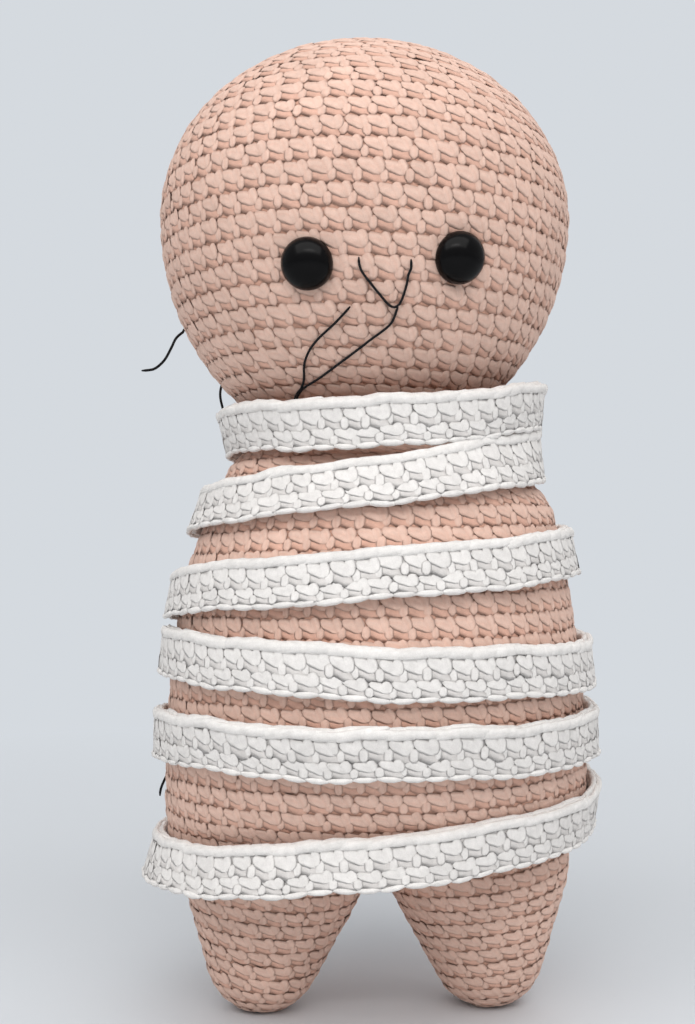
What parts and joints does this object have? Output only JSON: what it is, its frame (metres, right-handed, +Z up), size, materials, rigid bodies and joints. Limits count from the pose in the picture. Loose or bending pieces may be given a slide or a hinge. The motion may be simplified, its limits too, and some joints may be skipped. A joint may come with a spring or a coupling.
{
  "type": "amigurumi doll",
  "caption": "Crocheted soft doll with a round head, pear-shaped body, short tapered legs, dome eyes, a thread nose and a flat strip wound around the body.",
  "frame": {"origin": "on the crotch, the lowest point of the body's skin midway between the hips, where a hand holds the doll", "axes": "+Z up the body, the face looks along -Y, the doll's own left side is +X"},
  "size_m": [0.0849, 0.0789, 0.1755],
  "materials": {
    "peach_yarn": "matte crocheted yarn",
    "white_yarn": "matte crocheted yarn",
    "black_thread": "matte sewing thread",
    "eye_plastic": "glossy",
    "fibre_fill": "loose fibre",
    "washer_plastic": "matte"
  },
  "bodies": {
    "torso": {"body_shell": "peach_yarn", "body_stuffing": "fibre_fill", "wrap_strip": "white_yarn"},
    "neck": {"neck_stuffing": "fibre_fill", "neck_seam": "peach_yarn"},
    "head": {"head_shell": "peach_yarn", "head_stuffing": "fibre_fill", "left_eye": "eye_plastic", "right_eye": "eye_plastic", "left_eye_washer": "washer_plastic", "right_eye_washer": "washer_plastic", "nose_stitch": "black_thread", "nose_anchor_thread": "black_thread", "mouth_thread": "black_thread", "short_thread_tail": "black_thread", "long_thread_tail": "black_thread"},
    "left_leg": {"left_leg_shell": "peach_yarn", "left_leg_stuffing": "fibre_fill"},
    "right_leg": {"right_leg_shell": "peach_yarn", "right_leg_stuffing": "fibre_fill"}
  },
  "joints": [
    {"name": "head_nod", "type": "hinge", "parent": "torso", "child": "neck", "pos_m": [-0.0038, 0, 0.068], "axis": [1, 0, 0], "range_deg": [-5, 5], "stiffness_Nm_per_rad": 0.6},
    {"name": "head_turn", "type": "hinge", "parent": "neck", "child": "head", "pos_m": [-0.0038, 0, 0.068], "axis": [0.0349, 0, 0.9994], "range_deg": [-15, 15], "stiffness_Nm_per_rad": 0.2},
    {"name": "left_leg_swing", "type": "hinge", "parent": "torso", "child": "left_leg", "pos_m": [0.0186, 0, 0.001], "axis": [1, 0, 0], "range_deg": [-20, 20], "stiffness_Nm_per_rad": 0.1},
    {"name": "right_leg_swing", "type": "hinge", "parent": "torso", "child": "right_leg", "pos_m": [-0.0186, 0, 0.001], "axis": [1, 0, 0], "range_deg": [-20, 20], "stiffness_Nm_per_rad": 0.1}
  ]
}
